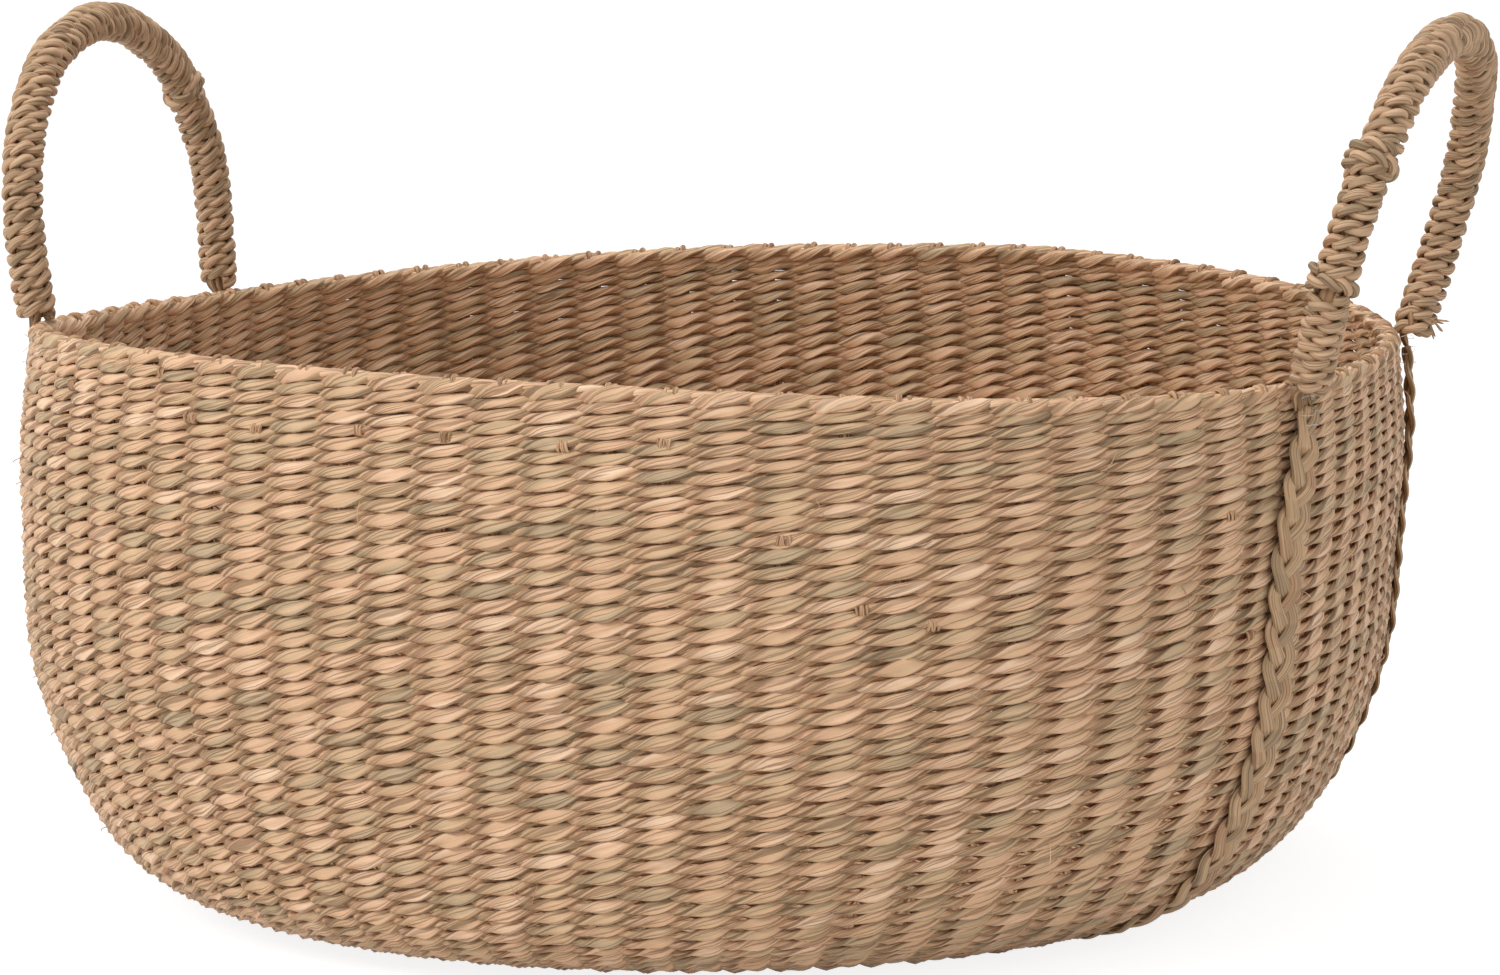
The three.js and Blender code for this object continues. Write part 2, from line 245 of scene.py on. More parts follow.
# Place, size and power of each lamp. All of them point at the middle of the basket.
lamp_aim = Vector((0, 0, 0.1))
lamps = {
    "key": ((-1.5, -1.7, 1.8), 1.5, 30.0),
    "fill": ((1.4, -1.6, 1.2), 1.4, 4.5),
    "top": ((-0.2, 0.2, 2.2), 1.8, 15.0),
}
for name, (place, size, power) in lamps.items():
    lamp = bpy.data.lights.new(name, "AREA")
    lamp.shape, lamp.size, lamp.energy = "DISK", size, power
    holder = placed(name, lamp)
    holder.location = place
    holder.rotation_euler = (lamp_aim - Vector(place)).to_track_quat("-Z", "Y").to_euler()

# Woven body
# Stiff stakes run from the middle of the base up to the rim. A pair of flat strands of dried seagrass,
# in tones from straw to peach, is twined round them in a spiral: where one strand passes outside, the
# other passes inside, and they cross between the stakes.
half_length = 250 * MM
half_width = 219 * MM
rim_height = 201 * MM
oval_power = 2.375
# Outline of the wall: shares of its height, of its half length and of its half width
outline_shares = [
    (0, 0.668, 0.685), (0.017, 0.72, 0.813), (0.05, 0.784, 0.9), (0.1, 0.842, 0.945), (0.2, 0.9, 0.973),
    (0.4, 0.963, 0.995), (0.6, 0.983, 1), (0.8, 0.993, 0.986), (0.93, 0.983, 0.957), (1, 0.974, 0.936),
]
stake_count = 82
stake_pitch = 17.6 * MM
guide_points = 400
plan_points = 1441


def smooth_path(points, steps=24):
    """A centripetal Catmull-Rom curve through points, with a number of steps in each span."""
    points = [np.array(p, float) for p in points]
    points = [2 * points[0] - points[1], *points, 2 * points[-1] - points[-2]]
    found = []
    for p0, p1, p2, p3 in zip(points, points[1:], points[2:], points[3:]):
        d0, d1, d2 = (np.linalg.norm(b - a) ** 0.5 for a, b in ((p0, p1), (p1, p2), (p2, p3)))
        t1 = ((p1 - p0) / d0 - (p2 - p0) / (d0 + d1) + (p2 - p1) / d1) * d1
        t2 = ((p2 - p1) / d1 - (p3 - p1) / (d1 + d2) + (p3 - p2) / d2) * d1
        for t in np.arange(steps) / steps:
            rise = p2 - p1
            found.append(p1 + t1 * t + (3 * rise - 2 * t1 - t2) * t**2 + (t1 + t2 - 2 * rise) * t**3)
    return np.array([*found, points[-2]])


def even(values, lengths):
    """Values given along a line, at evenly spaced lengths of it."""
    steps = np.linspace(lengths[0], lengths[-1], guide_points)
    return np.stack([np.interp(steps, lengths, column) for column in np.array(values, float).T], 1)


def reach(points):
    """The length of a line up to each of its points."""
    steps = np.linalg.norm(np.diff(points, axis=0), axis=1)
    return np.concatenate([[0], np.cumsum(steps)])


def unit(vectors):
    """A vector, or each of many, with its length made 1."""
    return vectors / np.linalg.norm(vectors, axis=-1, keepdims=True)


shares = smooth_path(outline_shares)
profile = np.stack([shares[:, 1] * half_length, shares[:, 2] * half_width, shares[:, 0]], 1)
profile = np.concatenate([[(0, 0, 0)], profile])
wall_line = reach(profile * (0.5**0.5, 0.5**0.5, rim_height))
wall_reach = wall_line[-1]

angles = np.linspace(0, 2 * math.pi, plan_points)
oval = np.stack([np.sign(f(angles)) * np.abs(f(angles)) ** (2 / oval_power) for f in (np.cos, np.sin)], 1)
# The handmade rim dips at its ends and in waves round it, and has two low crests at its back, each
# given by its angle in degrees, its spread in degrees and its height in mm
rim_crests = ((78, 9, 1.2), (145, 20, 0.9))
rim_lift = MM * (-2.4 * np.cos(angles) - 5 * np.cos(2 * angles) + 3.1 * np.sin(2 * angles)
                 - 1.6 * np.sin(3 * angles))
for crest, spread, height in rim_crests:
    rim_lift += height * MM * np.exp(-(((np.degrees(angles) - crest) / spread) ** 2))
plan = np.column_stack([oval, rim_lift])
# How far the handmade wall leaves the oval, at shares of its height: its left and its right end
# outwards, its front forwards and its right front corner backwards
skew_shares = (0, 0.06, 0.15, 0.28, 0.42, 0.55, 0.66, 0.8, 0.93, 1)
left_out = np.array((0, 0, 0.6, 2.2, 3.0, 1.4, -0.4, -1.6, -1.2, -0.5)) * MM
right_out = np.array((0, -0.6, -1.4, -2.2, -2.6, -2.8, -2.8, -2.0, -0.2, 0.8)) * MM
front_out = np.array((7, 7, 4, 1, 0, 0, 0, 0, 0, 0)) * MM
corner_back = np.array((12, 12, 7, 0, 0, 0, 0, 0, 0, 0)) * MM
longer, skewed = (right_out + left_out) / 2, (right_out - left_out) / 2
skew = [np.interp(profile[:, 2], skew_shares, line) for line in (longer, skewed, corner_back, front_out)]
skew = np.stack(skew, 1)
skew[0] = 0
profile[:, 0] += skew[:, 0]
skew = skew[:, 1:]


def guide_mesh(name, lines):
    """A mesh of points that carries lines of vectors for a tree to read."""
    mesh = bpy.data.meshes.new(name)
    mesh.from_pydata([(0, 0, 0)] * guide_points, [], [])
    for line, values in lines.items():
        stored = mesh.attributes.new(line, "FLOAT_VECTOR", "POINT")
        stored.data.foreach_set("vector", values.astype("f").ravel())
    return mesh


def spiral(low, high, pitches, points=2000):
    """The lengths and pitch of a spiral of rows up the wall, and its number of turns."""
    ups = np.linspace(low, high, points)
    pitch = np.interp(ups, *zip(*pitches))
    turns = np.concatenate([[0], np.cumsum(np.diff(ups) / pitch[1:])])
    steps = np.linspace(0, turns[-1], guide_points)
    return np.column_stack([np.interp(steps, turns, ups), np.interp(steps, turns, pitch), steps]), turns[-1]


# Share of the way round at which the stakes stand widest apart, and how far they are spread from there
widest_place = 0.88
once_round, twice_round = 0.0064, 0.0036


def weave_guide(name, rows):
    """A guide to the wall, whose stakes stand a little wider apart at the front right, and to its rows."""
    share = np.linspace(0, 1, guide_points)
    turn = 2 * math.pi * (share - widest_place)
    share += once_round * np.sin(turn) + twice_round * np.sin(2 * turn)
    lengths = reach(oval * (half_length, half_width))
    arc = (share * lengths[-1]) % lengths[-1]
    plan_line = np.stack([np.interp(arc, lengths, column) for column in plan.T], 1)
    return guide_mesh(name, {
        "profile": even(profile, wall_line), "skew": even(skew, wall_line), "plan": plan_line, "rows": rows,
    })


class Tree(Nodes):
    """A Geometry Nodes tree that turns a guide mesh and named sizes into a mesh."""

    def __init__(self, name, sizes):
        super().__init__(bpy.data.node_groups.new(name, "GeometryNodeTree"))
        self.tree.interface.new_socket("Guide", in_out="INPUT", socket_type="NodeSocketGeometry")
        self.tree.interface.new_socket("Mesh", in_out="OUTPUT", socket_type="NodeSocketGeometry")
        for size in sizes:
            self.tree.interface.new_socket(size, in_out="INPUT", socket_type="NodeSocketFloat")
        self.given = self.tree.nodes.new("NodeGroupInput")
        self.result = self.tree.nodes.new("NodeGroupOutput")

    def __getitem__(self, name):
        return Value(self, self.given.outputs[name])

    def read(self, line, share):
        """The vector of one of the guide's lines at a share of its length."""
        place = share * (guide_points - 1)
        low = place.do("FLOOR")
        stored = self.node("GeometryNodeInputNamedAttribute", {"data_type": "FLOAT_VECTOR"}, {"Name": line})
        settings = {"data_type": "FLOAT_VECTOR", "clamp": True}
        inputs = {"Geometry": self["Guide"], "Value": stored}
        ends = [
            self.node("GeometryNodeSampleIndex", settings, {**inputs, "Index": at}) for at in (low, low + 1)
        ]
        return self.mix("VECTOR", place - low, *ends)

    def tubes(self, reach, steps, count, sides):
        """Straight tubes of unit radius along X, and the stored number of each."""
        line = self.node("GeometryNodeCurvePrimitiveLine", {}, {"End": self.vector(reach, 0.0, 0.0)})
        line = self.node("GeometryNodeResampleCurve", {}, {"Curve": line, "Count": steps})
        inputs = {"Geometry": line, "Amount": count}
        lines = self.node("GeometryNodeDuplicateElements", {"domain": "SPLINE"}, inputs)
        lines = self.store(lines, "strand", lines.out("Duplicate Index"), "CURVE")
        ring = self.node("GeometryNodeCurvePrimitiveCircle", {}, {"Resolution": sides, "Radius": 1.0})
        inputs = {"Curve": lines, "Profile Curve": ring, "Fill Caps": True}
        tube = self.node("GeometryNodeCurveToMesh", {}, inputs)
        tube = self.node("GeometryNodeSetShadeSmooth", {}, {"Geometry": tube, "Shade Smooth": True})
        strand = self.node("GeometryNodeInputNamedAttribute", {"data_type": "FLOAT"}, {"Name": "strand"})
        return tube, strand, self.node("GeometryNodeInputPosition").parts()

    def store(self, mesh, name, value, domain="POINT", kind="FLOAT"):
        inputs = {"Geometry": mesh, "Name": name, "Value": value}
        return self.node("GeometryNodeStoreNamedAttribute", {"data_type": kind, "domain": domain}, inputs)

    def look(self, mesh, lay, tone, shade):
        """Stores what a grass shader reads: the place along, across and through a strand, its tone from
        dark to light, and how much its colour is darkened, as painted shade or at random."""
        mesh = self.store(mesh, "lay", lay, kind="FLOAT_VECTOR")
        return self.store(self.store(mesh, "tone", tone), "shade", shade)

    def crease(self, tube, y, z, nearly_radius=0.95):
        """Makes the edges along a tube sharp, so that a flat strand shows its folds. Their middles lie on
        the tube's radius, and those of the edges round it lie inside it."""
        along = (y * y + z * z).do("GREATER_THAN", nearly_radius)
        return self.store(tube, "sharp_edge", along, "EDGE", "BOOLEAN")

    def finish(self, mesh, place, material):
        """Moves the points of a mesh to their places, gives it its material and ends the tree."""
        mesh = self.node("GeometryNodeSetPosition", {}, {"Geometry": mesh, "Position": place})
        mesh = self.node("GeometryNodeRealizeInstances", {}, {"Geometry": mesh})
        mesh = self.node("GeometryNodeSetMaterial", {}, {"Geometry": mesh, "Material": material})
        self.tree.links.new(mesh.socket, self.result.inputs["Mesh"])


def grow(name, tree, guide, sizes, body):
    """Runs a tree, keeps the result as a plain mesh, and lets it ride on a body."""
    piece = placed(name, guide)
    modifier = piece.modifiers.new(name, "NODES")
    modifier.node_group = tree.tree
    for socket in tree.tree.interface.items_tree:
        if socket.name in sizes:
            modifier[socket.identifier] = float(sizes[socket.name])
    evaluated = piece.evaluated_get(bpy.context.evaluated_depsgraph_get())
    mesh = bpy.data.meshes.new_from_object(evaluated)
    piece.modifiers.clear()
    piece.data = mesh
    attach(piece, body)
    return piece


def wall_point(tree, around, up):
    """The point of the outer wall at a share of the way round and a length from the middle of the base."""
    a, b, share = tree.read("profile", up / wall_reach).parts()
    ends, corner, front = tree.read("skew", up / wall_reach).parts()
    x, y, lift = tree.read("plan", around - around.do("FLOOR")).parts()
    middle = 1 - x * x
    forward = (corner * x.do("MAXIMUM", 0.0) - front * middle * middle) * y * y
    return tree.vector(a * x + ends * x * x, b * y + forward, share * (lift + rim_height))


def wall_frame(tree, around, up, around_step=0.004, up_step=3 * MM):
    """The point of the wall, the direction round it and the direction out of it."""
    middle = wall_point(tree, around, up)
    side = wall_point(tree, around + around_step, up) - wall_point(tree, around - around_step, up)
    rise = wall_point(tree, around, up + up_step) - wall_point(tree, around, up - up_step)
    return middle, side.do("NORMALIZE"), side.do("CROSS_PRODUCT", rise).do("NORMALIZE")


# Fibres, bands and creases to a metre of a strand: along it, across it and through it
fibre_scale = (60.0, 2600.0, 1200.0)
band_scale = (30.0, 520.0, 300.0)
crease_scale = (14.0, 620.0, 420.0)
# The shades of dried grass turn browner as they darken, so green and blue fall faster than red
green_fall, blue_fall = 1.1, 1.22
crease_width = 0.07
crease_dark = 0.5


def grass_shader(name, colors):
    """Dried grass: a few tones along the strands, long dark creases and fine fibres, darkened by the stored
    shade, which is painted shade or random darkening.
    """
    material, nodes, surface = shader(name, {"Roughness": 0.58, "Specular IOR Level": 0.35})
    lay, tone, shade = (
        nodes.node("ShaderNodeAttribute", {"attribute_name": line}).out(output)
        for line, output in (("lay", "Vector"), ("tone", "Fac"), ("shade", "Fac")))
    fine = nodes.noise(lay * fibre_scale, 3.0)
    broad = nodes.noise(lay * band_scale, 2.0)
    crease = nodes.noise(lay * crease_scale)
    stops = [(place, linear(*color)) for place, color in zip(np.linspace(0, 1, len(colors)), colors)]
    color = nodes.node("ShaderNodeValToRGB", {"stops": stops}, {"Fac": tone + (broad - 0.5) * 1.7})
    line = nodes.ramp((crease - 0.5).do("ABSOLUTE"), 0.0, crease_width, crease_dark, 1.0)
    # The stored shade darkens the colour: painted shade at the crossings and edges of woven and plaited
    # strands, random darkening on stakes and nubs
    bright = (0.76 + fine * 0.5 + broad * 0.1) * line * (1 - shade)
    tint = nodes.node("ShaderNodeCombineColor", {}, {
        "Red": bright, "Green": bright.do("POWER", green_fall), "Blue": bright.do("POWER", blue_fall)})
    color = nodes.mix("RGBA", 1.0, color, tint, "MULTIPLY")
    nodes.tree.links.new(color.socket, surface.inputs["Base Color"])
    relief = fine * 0.45 + broad * 0.6 + line * 0.8
    bump = nodes.node("ShaderNodeBump", {}, {"Strength": 0.75, "Distance": 0.4 * MM, "Height": relief})
    nodes.tree.links.new(bump.socket, surface.inputs["Normal"])
    return material


woven_colors = ((190, 164, 130), (214, 179, 140), (223, 179, 142), (238, 202, 168))
woven_grass = grass_shader("woven_grass", woven_colors)
steps_a_stake = 8
strand_sides = 8

# Both strands of the pair. The turn runs from -1 to 1 over two stakes: at 0 the strand passes outside a
# stake, at -1 and 1 inside one, and its bulge falls from 1 there to 0 where the strands cross.
twined = Tree("twined_pair", ["First", "Span", "Stakes", "Turns", "Swing", "Thickness", "Depth", "Top"])
tube, strand, (x, y, z) = twined.tubes(
    twined["Span"], twined["Span"] * steps_a_stake + 1, 2, strand_sides)
passed = x + twined["First"]
phase = passed + strand - 0.08
stitch = (phase + 0.5).do("FLOOR")
turn = phase - (phase * 0.5 + 0.5).do("FLOOR") * 2
bulge = (1 - turn.do("ABSOLUTE") * 2).do("ABSOLUTE")
angle = turn * math.pi
first, second, third = (number - 0.5 for number in twined.chance(stitch, strand))
fourth, fifth, sixth = (number - 0.5 for number in twined.chance(stitch, strand, 7.0))
around = passed / twined["Stakes"]
up, pitch, _ = twined.read("rows", around / twined["Turns"]).parts()
near_x, near_y, _ = twined.read("plan", around - around.do("FLOOR")).parts()
# Each strand turns over as it passes from one side of the wall to the other
roll = angle - (angle * 2).do("SINE") * 0.28 + angle.do("COSINE") * 0.2 + fourth * bulge * 0.75
# Its width grows and shrinks slowly along it, and again from stitch to stitch, as dry leaves do
grown = twined.noise(twined.vector(passed * 0.21, strand * 5.0, 3.0)) - 0.5
tight = 0.985 - near_y * 0.05
half = pitch * tight * (0.31 + 0.24 * bulge.do("POWER", 0.8)) * (1 + (first * 0.3 + grown * 0.7) * bulge)
broad = y * (1 + (y * z).do("ABSOLUTE") * 0.3) * half
flat = z * (twined["Thickness"] * (2.3 - bulge * 1.45 + fifth * (0.9 - bulge * 0.6)))
# It slides up the stake as it passes, and whole rows sway a little up and down
sway = twined.noise(twined.vector(near_x * 2.6, near_y * 2.6, up * 14.0)) - 0.5
slide = angle.do("SINE") * (1 + 0.8 * (-angle.do("COSINE")).do("MAXIMUM", 0.0))
rise = up + sway * (2.4 * MM) + pitch * (slide * 0.25 + (1 - bulge) * 0.05 + third * bulge * 0.14)
rise = (rise + broad * roll.do("COSINE") + flat * roll.do("SINE")).do("MINIMUM", twined["Top"])
# It comes round the stake a little late, and leaves it flat
late = angle + 0.38
swing = late.do("COSINE") - (late * 3).do("COSINE") * 0.15 + second * bulge * 0.25
out = twined["Depth"] + swing * twined["Swing"] - broad * roll.do("SINE") + flat * roll.do("COSINE")
middle, side, outward = wall_frame(twined, around, rise)
fibre = twined.vector(passed * stake_pitch, y * (2.3 * MM), z * (0.9 * MM) + strand * 0.5)
leaf = twined.noise(twined.vector(passed * 0.13, strand * 9.0, 0.0)) - 0.5
tone = 0.5 + leaf * 2.0 + sixth * 0.55
# Painted shade: the strand's colour darkens where it passes behind the other strand between the stakes, and
# in a thin line along its edges, for the dark gaps between the stitches
crossing_shade, edge = (1 - bulge).do("POWER", 4.0), y.do("ABSOLUTE").do("POWER", 8.0)
mesh = twined.look(twined.crease(tube, y, z), fibre, tone, crossing_shade * 0.1 + edge * 0.45)
twined.finish(mesh, middle + outward * out, woven_grass)

# The pitch of the rows is measured at lengths up the wall from the middle of the base, or down from the
# rim. The wall is cut into bands, so that no piece of the model is too large.
weave_sizes = {"Swing": 1.85 * MM, "Thickness": 0.78 * MM, "Depth": -3.0 * MM}
wall_foot = 95 * MM
wall_top = wall_reach - 3.4 * MM
last_row = wall_reach - 6.4 * MM
row_pitches = (
    (wall_foot, 5.2 * MM), (wall_reach - 62 * MM, 5.3 * MM), (wall_reach - 40 * MM, 4.9 * MM),
    (wall_reach - 18 * MM, 4.1 * MM), (wall_reach, 3.9 * MM),
)
wall_rows, rows = spiral(wall_foot, wall_top, row_pitches)
wall_rows[:, 0] = np.minimum(wall_rows[:, 0], last_row)
wall_guide = weave_guide("wall_guide", wall_rows)
bands = 7
band_rows = math.ceil(rows / bands)
body_pieces = []
for band in range(bands):
    first_turn = band * band_rows
    turns = min(band_rows, rows - first_turn)
    body_pieces.append(grow(f"woven_wall_{band + 1}", twined, wall_guide, {
        "First": first_turn * stake_count, "Span": round(turns * stake_count), "Stakes": stake_count,
        "Turns": rows, "Top": wall_reach, **weave_sizes,
    }, "basket"))
# Towards the middle of the base the stakes are fewer
base_parts = {"woven_base": (45 * MM, wall_foot, 41), "woven_base_middle": (6 * MM, 45 * MM, 17)}
for name, (low, high, count) in base_parts.items():
    base_rows, turns = spiral(low, high, ((low, 5.0 * MM), (high, 5.2 * MM)))
    guide = weave_guide(name, base_rows)
    body_pieces.append(grow(name, twined, guide, {
        "First": 0, "Span": round(turns * count), "Stakes": count, "Turns": turns, "Top": high, **weave_sizes,
    }, "basket"))
for piece in body_pieces:
    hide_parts("woven_body")

stake_fibre = grass_shader("stake_fibre", ((150, 112, 78), (172, 128, 90), (140, 96, 66)))
sticks_a_stake = 3
stick_gap = 1.15 * MM
stakes = Tree("stakes", ["Count", "Low", "High", "Radius", "Depth"])
tube, strand, (x, y, z) = stakes.tubes(1.0, 70, stakes["Count"] * sticks_a_stake, 5)
stake = (strand / sticks_a_stake).do("FLOOR")
stick = strand - stake * sticks_a_stake - 1
up = stakes["Low"] + x * (stakes["High"] - stakes["Low"])
middle, side, outward = wall_frame(stakes, stake / stakes["Count"], up)
radius = stakes["Radius"]
wander = stakes.noise(stakes.vector(up * 30.0, strand * 5.0, 0.0)) - 0.5
tone, shade, _ = stakes.chance(strand)
mesh = stakes.look(tube, stakes.vector(up, y * radius, z * radius + strand), tone, shade * 0.2)
place = outward * (z * radius + stakes["Depth"] + (1 - stick.do("ABSOLUTE")) * (0.7 * MM))
place = place - side * (y * radius + stick * stick_gap + wander * (0.9 * MM))
stakes.finish(mesh, middle + place, stake_fibre)
grow("stakes", stakes, wall_guide, {
    "Count": stake_count, "Low": wall_foot, "High": wall_reach - 2 * MM, "Radius": 0.85 * MM,
    "Depth": -3.3 * MM,
}, "basket")

# Border
# The last row is twined from a thicker pair, over a rolled edge. The ends of each stake are folded over
# the edge and pushed back into the weave, which leaves a pair of small reddish nubs at every stake.
border_grass = grass_shader("border_grass", woven_colors)
border_guide = weave_guide("border_guide", np.tile((wall_reach - 2.7 * MM, 4.9 * MM, 0), (guide_points, 1)))
border = grow("border_pair", twined, border_guide, {
    "First": 0, "Span": stake_count, "Stakes": stake_count, "Turns": 1, "Top": wall_reach,
    "Swing": 2.5 * MM, "Thickness": 1.2 * MM, "Depth": -3.5 * MM,
}, "basket")
border.data.materials[0] = border_grass
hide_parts("rim_border")

rolled = Tree("rolled_edge", ["Count", "Edge", "Radius", "Depth"])
tube, strand, (x, y, z) = rolled.tubes(
    rolled["Count"], rolled["Count"] * steps_a_stake + 1, 2, strand_sides)
wander = rolled.noise(rolled.vector(x * 0.4, strand * 3.0, 0.0)) - 0.5
angle = (x + strand * 0.5) * (2 * math.pi)
middle, side, outward = wall_frame(rolled, x / rolled["Count"], rolled["Edge"])
up_wall = outward.do("CROSS_PRODUCT", side)
radius = rolled["Radius"] * (1 + wander * 0.5)
fibre = rolled.vector(x * stake_pitch, y * (1.4 * MM), z * (1.4 * MM) + strand * 0.3)
mesh = rolled.look(tube, fibre, 0.45 + wander + strand * 0.2, 0.0)
aside = angle.do("COSINE") * (1.3 * MM) + wander * (1.0 * MM)
place = outward * (rolled["Depth"] + aside + z * radius)
place = place + up_wall * (y * radius + angle.do("SINE") * (0.5 * MM))
rolled.finish(mesh, middle + place, border_grass)
grow("rolled_edge", rolled, wall_guide, {
    "Count": stake_count, "Edge": wall_reach - 1.7 * MM, "Radius": 1.35 * MM, "Depth": -3.2 * MM,
}, "basket")

nub_fibre = grass_shader("stake_ends", ((186, 146, 110), (208, 170, 132), (194, 150, 116)))
nubs = Tree("stake_ends", ["Count", "Edge", "Radius", "Width", "Thickness", "Depth"])
tube, strand, (x, y, z) = nubs.tubes(1.0, 9, nubs["Count"] * 2, 7)
first, second, third = nubs.chance(strand)
pair = strand - (strand * 0.5).do("FLOOR") * 2
angle = x * (1.1 * math.pi) - 0.05
spread = nubs["Radius"] * (0.85 + first * 0.35)
around = ((strand * 0.5).do("FLOOR") + (pair - 0.5) * 0.17 + (second - 0.5) * 0.1) / nubs["Count"]
middle, side, outward = wall_frame(nubs, around, nubs["Edge"])
up_wall = outward.do("CROSS_PRODUCT", side)
full = 1 - (x * 2 - 1).do("ABSOLUTE").do("POWER", 3.0) * 0.5
arm = spread + z * nubs["Thickness"] * full
place = middle + outward * (nubs["Depth"] - angle.do("COSINE") * arm)
place = place + up_wall * (angle.do("SINE") * arm)
place = place + side * ((y * full + (x - 0.5) * (second - 0.5) * 1.6) * nubs["Width"])
fibre = nubs.vector(angle * nubs["Radius"], y * nubs["Width"], strand)
mesh = nubs.look(tube, fibre, third, first * 0.15)
nubs.finish(mesh, place, nub_fibre)
grow("stake_ends", nubs, wall_guide, {
    "Count": stake_count, "Edge": wall_reach - 2.0 * MM, "Radius": 2.1 * MM, "Width": 1.15 * MM,
    "Thickness": 0.9 * MM, "Depth": -3.2 * MM,
}, "basket")

# Straps
# Each strap is a flat plait of three seagrass strands. It runs from a foot of one handle down the wall,
# under the base and up to the other handle, and clear thread stitches it to the rim.
strap_half_thickness = 2.3 * MM
strap_ground_gap = 0.3 * MM
# Shares of the wall's height: where a strap turns towards its foot, where it reaches it, and the places
# that its route goes through
strap_turn_share = 0.7
strap_foot_share = 0.95
strap_wall_shares = (
    0.03, 0.05, 0.08, 0.12, 0.18, 0.26, 0.36, 0.46, 0.56, 0.64, 0.72, 0.78, 0.83, 0.88, 0.92, 0.955,
)
# How far a strap stands off the wall at its foot, at the left end (-1) and at the right end (1), and the
# distances of its foot and of its lower part from the basket's long axis
strap_stand = {("near", -1): 0.8 * MM, ("near", 1): 2.5 * MM, ("far", -1): 1.8 * MM, ("far", 1): 3.8 * MM}
side_signs = {"near": -1, "far": 1}
strap_ends = {
    "near": {-1: (74 * MM, 50 * MM), 1: (79 * MM, 92 * MM)},
    "far": {-1: (85 * MM, 86 * MM), 1: (80 * MM, 74 * MM)},
}


def wall_at(angle, share):
    """The point of the outer wall at an angle round the basket and a share of its height."""
    a, b = (np.interp(share, profile[1:, 2], profile[1:, i]) for i in (0, 1))
    ends, corner, front = (np.interp(share, profile[1:, 2], skew[1:, i]) for i in (0, 1, 2))
    x, y = (math.copysign(abs(f(angle)) ** (2 / oval_power), f(angle)) for f in (math.cos, math.sin))
    forward = (corner * max(x, 0) - front * (1 - x * x) ** 2) * y * y
    lift = np.interp(angle % (2 * math.pi), angles, rim_lift)
    return np.array([a * x + ends * x * x, b * y + forward, share * (rim_height + lift)])


def end_wall(end, y, share):
    """The point of the outer wall at one end of the basket, at a distance y from its long axis."""
    b = np.interp(share, profile[1:, 2], profile[1:, 1])
    angle = math.asin(math.copysign(min(abs(y / b), 1) ** (oval_power / 2), y))
    return wall_at(angle if end > 0 else math.pi - angle, share)


def end_outward(end, y, share, share_step=0.01, step=3 * MM):
    """The direction out of the wall there."""
    up = end_wall(end, y, share + share_step) - end_wall(end, y, max(share - share_step, 0))
    across = end_wall(end, y + step, share) - end_wall(end, y - step, share)
    return unit(end * np.cross(across, up))


def strap_half(side, end, middle_spread):
    """Points of a strap from the middle of the base to a foot, with the directions out of the basket."""
    foot, spread = strap_ends[side][end]
    sign = side_signs[side]
    height = strap_half_thickness - strap_ground_gap
    edge = end_wall(end, sign * spread, 0)
    found = []
    for share in (0, 0.35, 0.7, 1):
        y = sign * middle_spread * (1 - share) + edge[1] * share
        found.append((np.array([edge[0] * share, y, height]), (0, 0, -1)))
    stands = (0, 0.2 * MM, 1.3 * MM, 1.5 * MM, strap_stand[side, end])
    for share in strap_wall_shares:
        stand = np.interp(share, (0, 0.05, 0.15, 0.72, 0.95), stands)
        turned = max((share - strap_turn_share) / (strap_foot_share - strap_turn_share), 0)
        y = sign * (spread + (foot - spread) * min(turned, 1) ** 1.5)
        outward = end_outward(end, y, share)
        point = end_wall(end, y, share) + outward * stand
        point[2] = max(point[2], height)
        found.append((point, outward))
    return found


def strap_guide(side, steps=12):
    """The middle line of a strap from foot to foot, the directions across and out of it, and its length."""
    spreads = [strap_ends[side][end][1] for end in (-1, 1)]
    left, right = (strap_half(side, end, sum(spreads) / 2) for end in (-1, 1))
    line = [*left[:0:-1], *right]
    points = smooth_path([point for point, _ in line], steps)
    spans = np.arange(len(points)) / steps
    ways = zip(*(way for _, way in line))
    outward = unit(np.stack([np.interp(spans, range(len(line)), way) for way in ways], 1))
    across = unit(np.cross(outward, np.gradient(points, axis=0)))
    lengths = reach(points)
    mesh = guide_mesh(f"{side}_strap_guide", {
        "centre": even(points, lengths), "across": even(across, lengths), "outward": even(outward, lengths),
    })
    return mesh, lengths[-1]


plaited_grass = grass_shader("plaited_grass", (
    (164, 136, 102), (186, 152, 114), (206, 170, 130), (180, 138, 102)))
steps_a_period = 32
plait = Tree("plait", ["Length", "Period", "Reach", "Lift", "Width", "Thickness"])
periods = plait["Length"] / plait["Period"]
tube, strand, (x, y, z) = plait.tubes(periods, periods * steps_a_period, 3, strand_sides)
share = x / periods
angle = (x + strand / 3) * (2 * math.pi)
end_share = (0.5 - (share - 0.5).do("ABSOLUTE")) * plait["Length"]
narrow = plait.ramp(end_share, 0.0, 22 * MM, 0.6, 1.0)
centre, across, outward = (plait.read(line, share) for line in ("centre", "across", "outward"))
wide, thick = y * plait["Width"], z * plait["Thickness"]
aside = angle.do("SINE") * plait["Reach"] + wide * (1 - 0.25 * angle.do("SINE").do("ABSOLUTE"))
lift = (angle * 2).do("SINE") * plait["Lift"] + thick
first = plait.chance((x * 6).do("FLOOR"), strand)[0]
fibre = plait.vector(x * plait["Period"], wide, thick + strand)
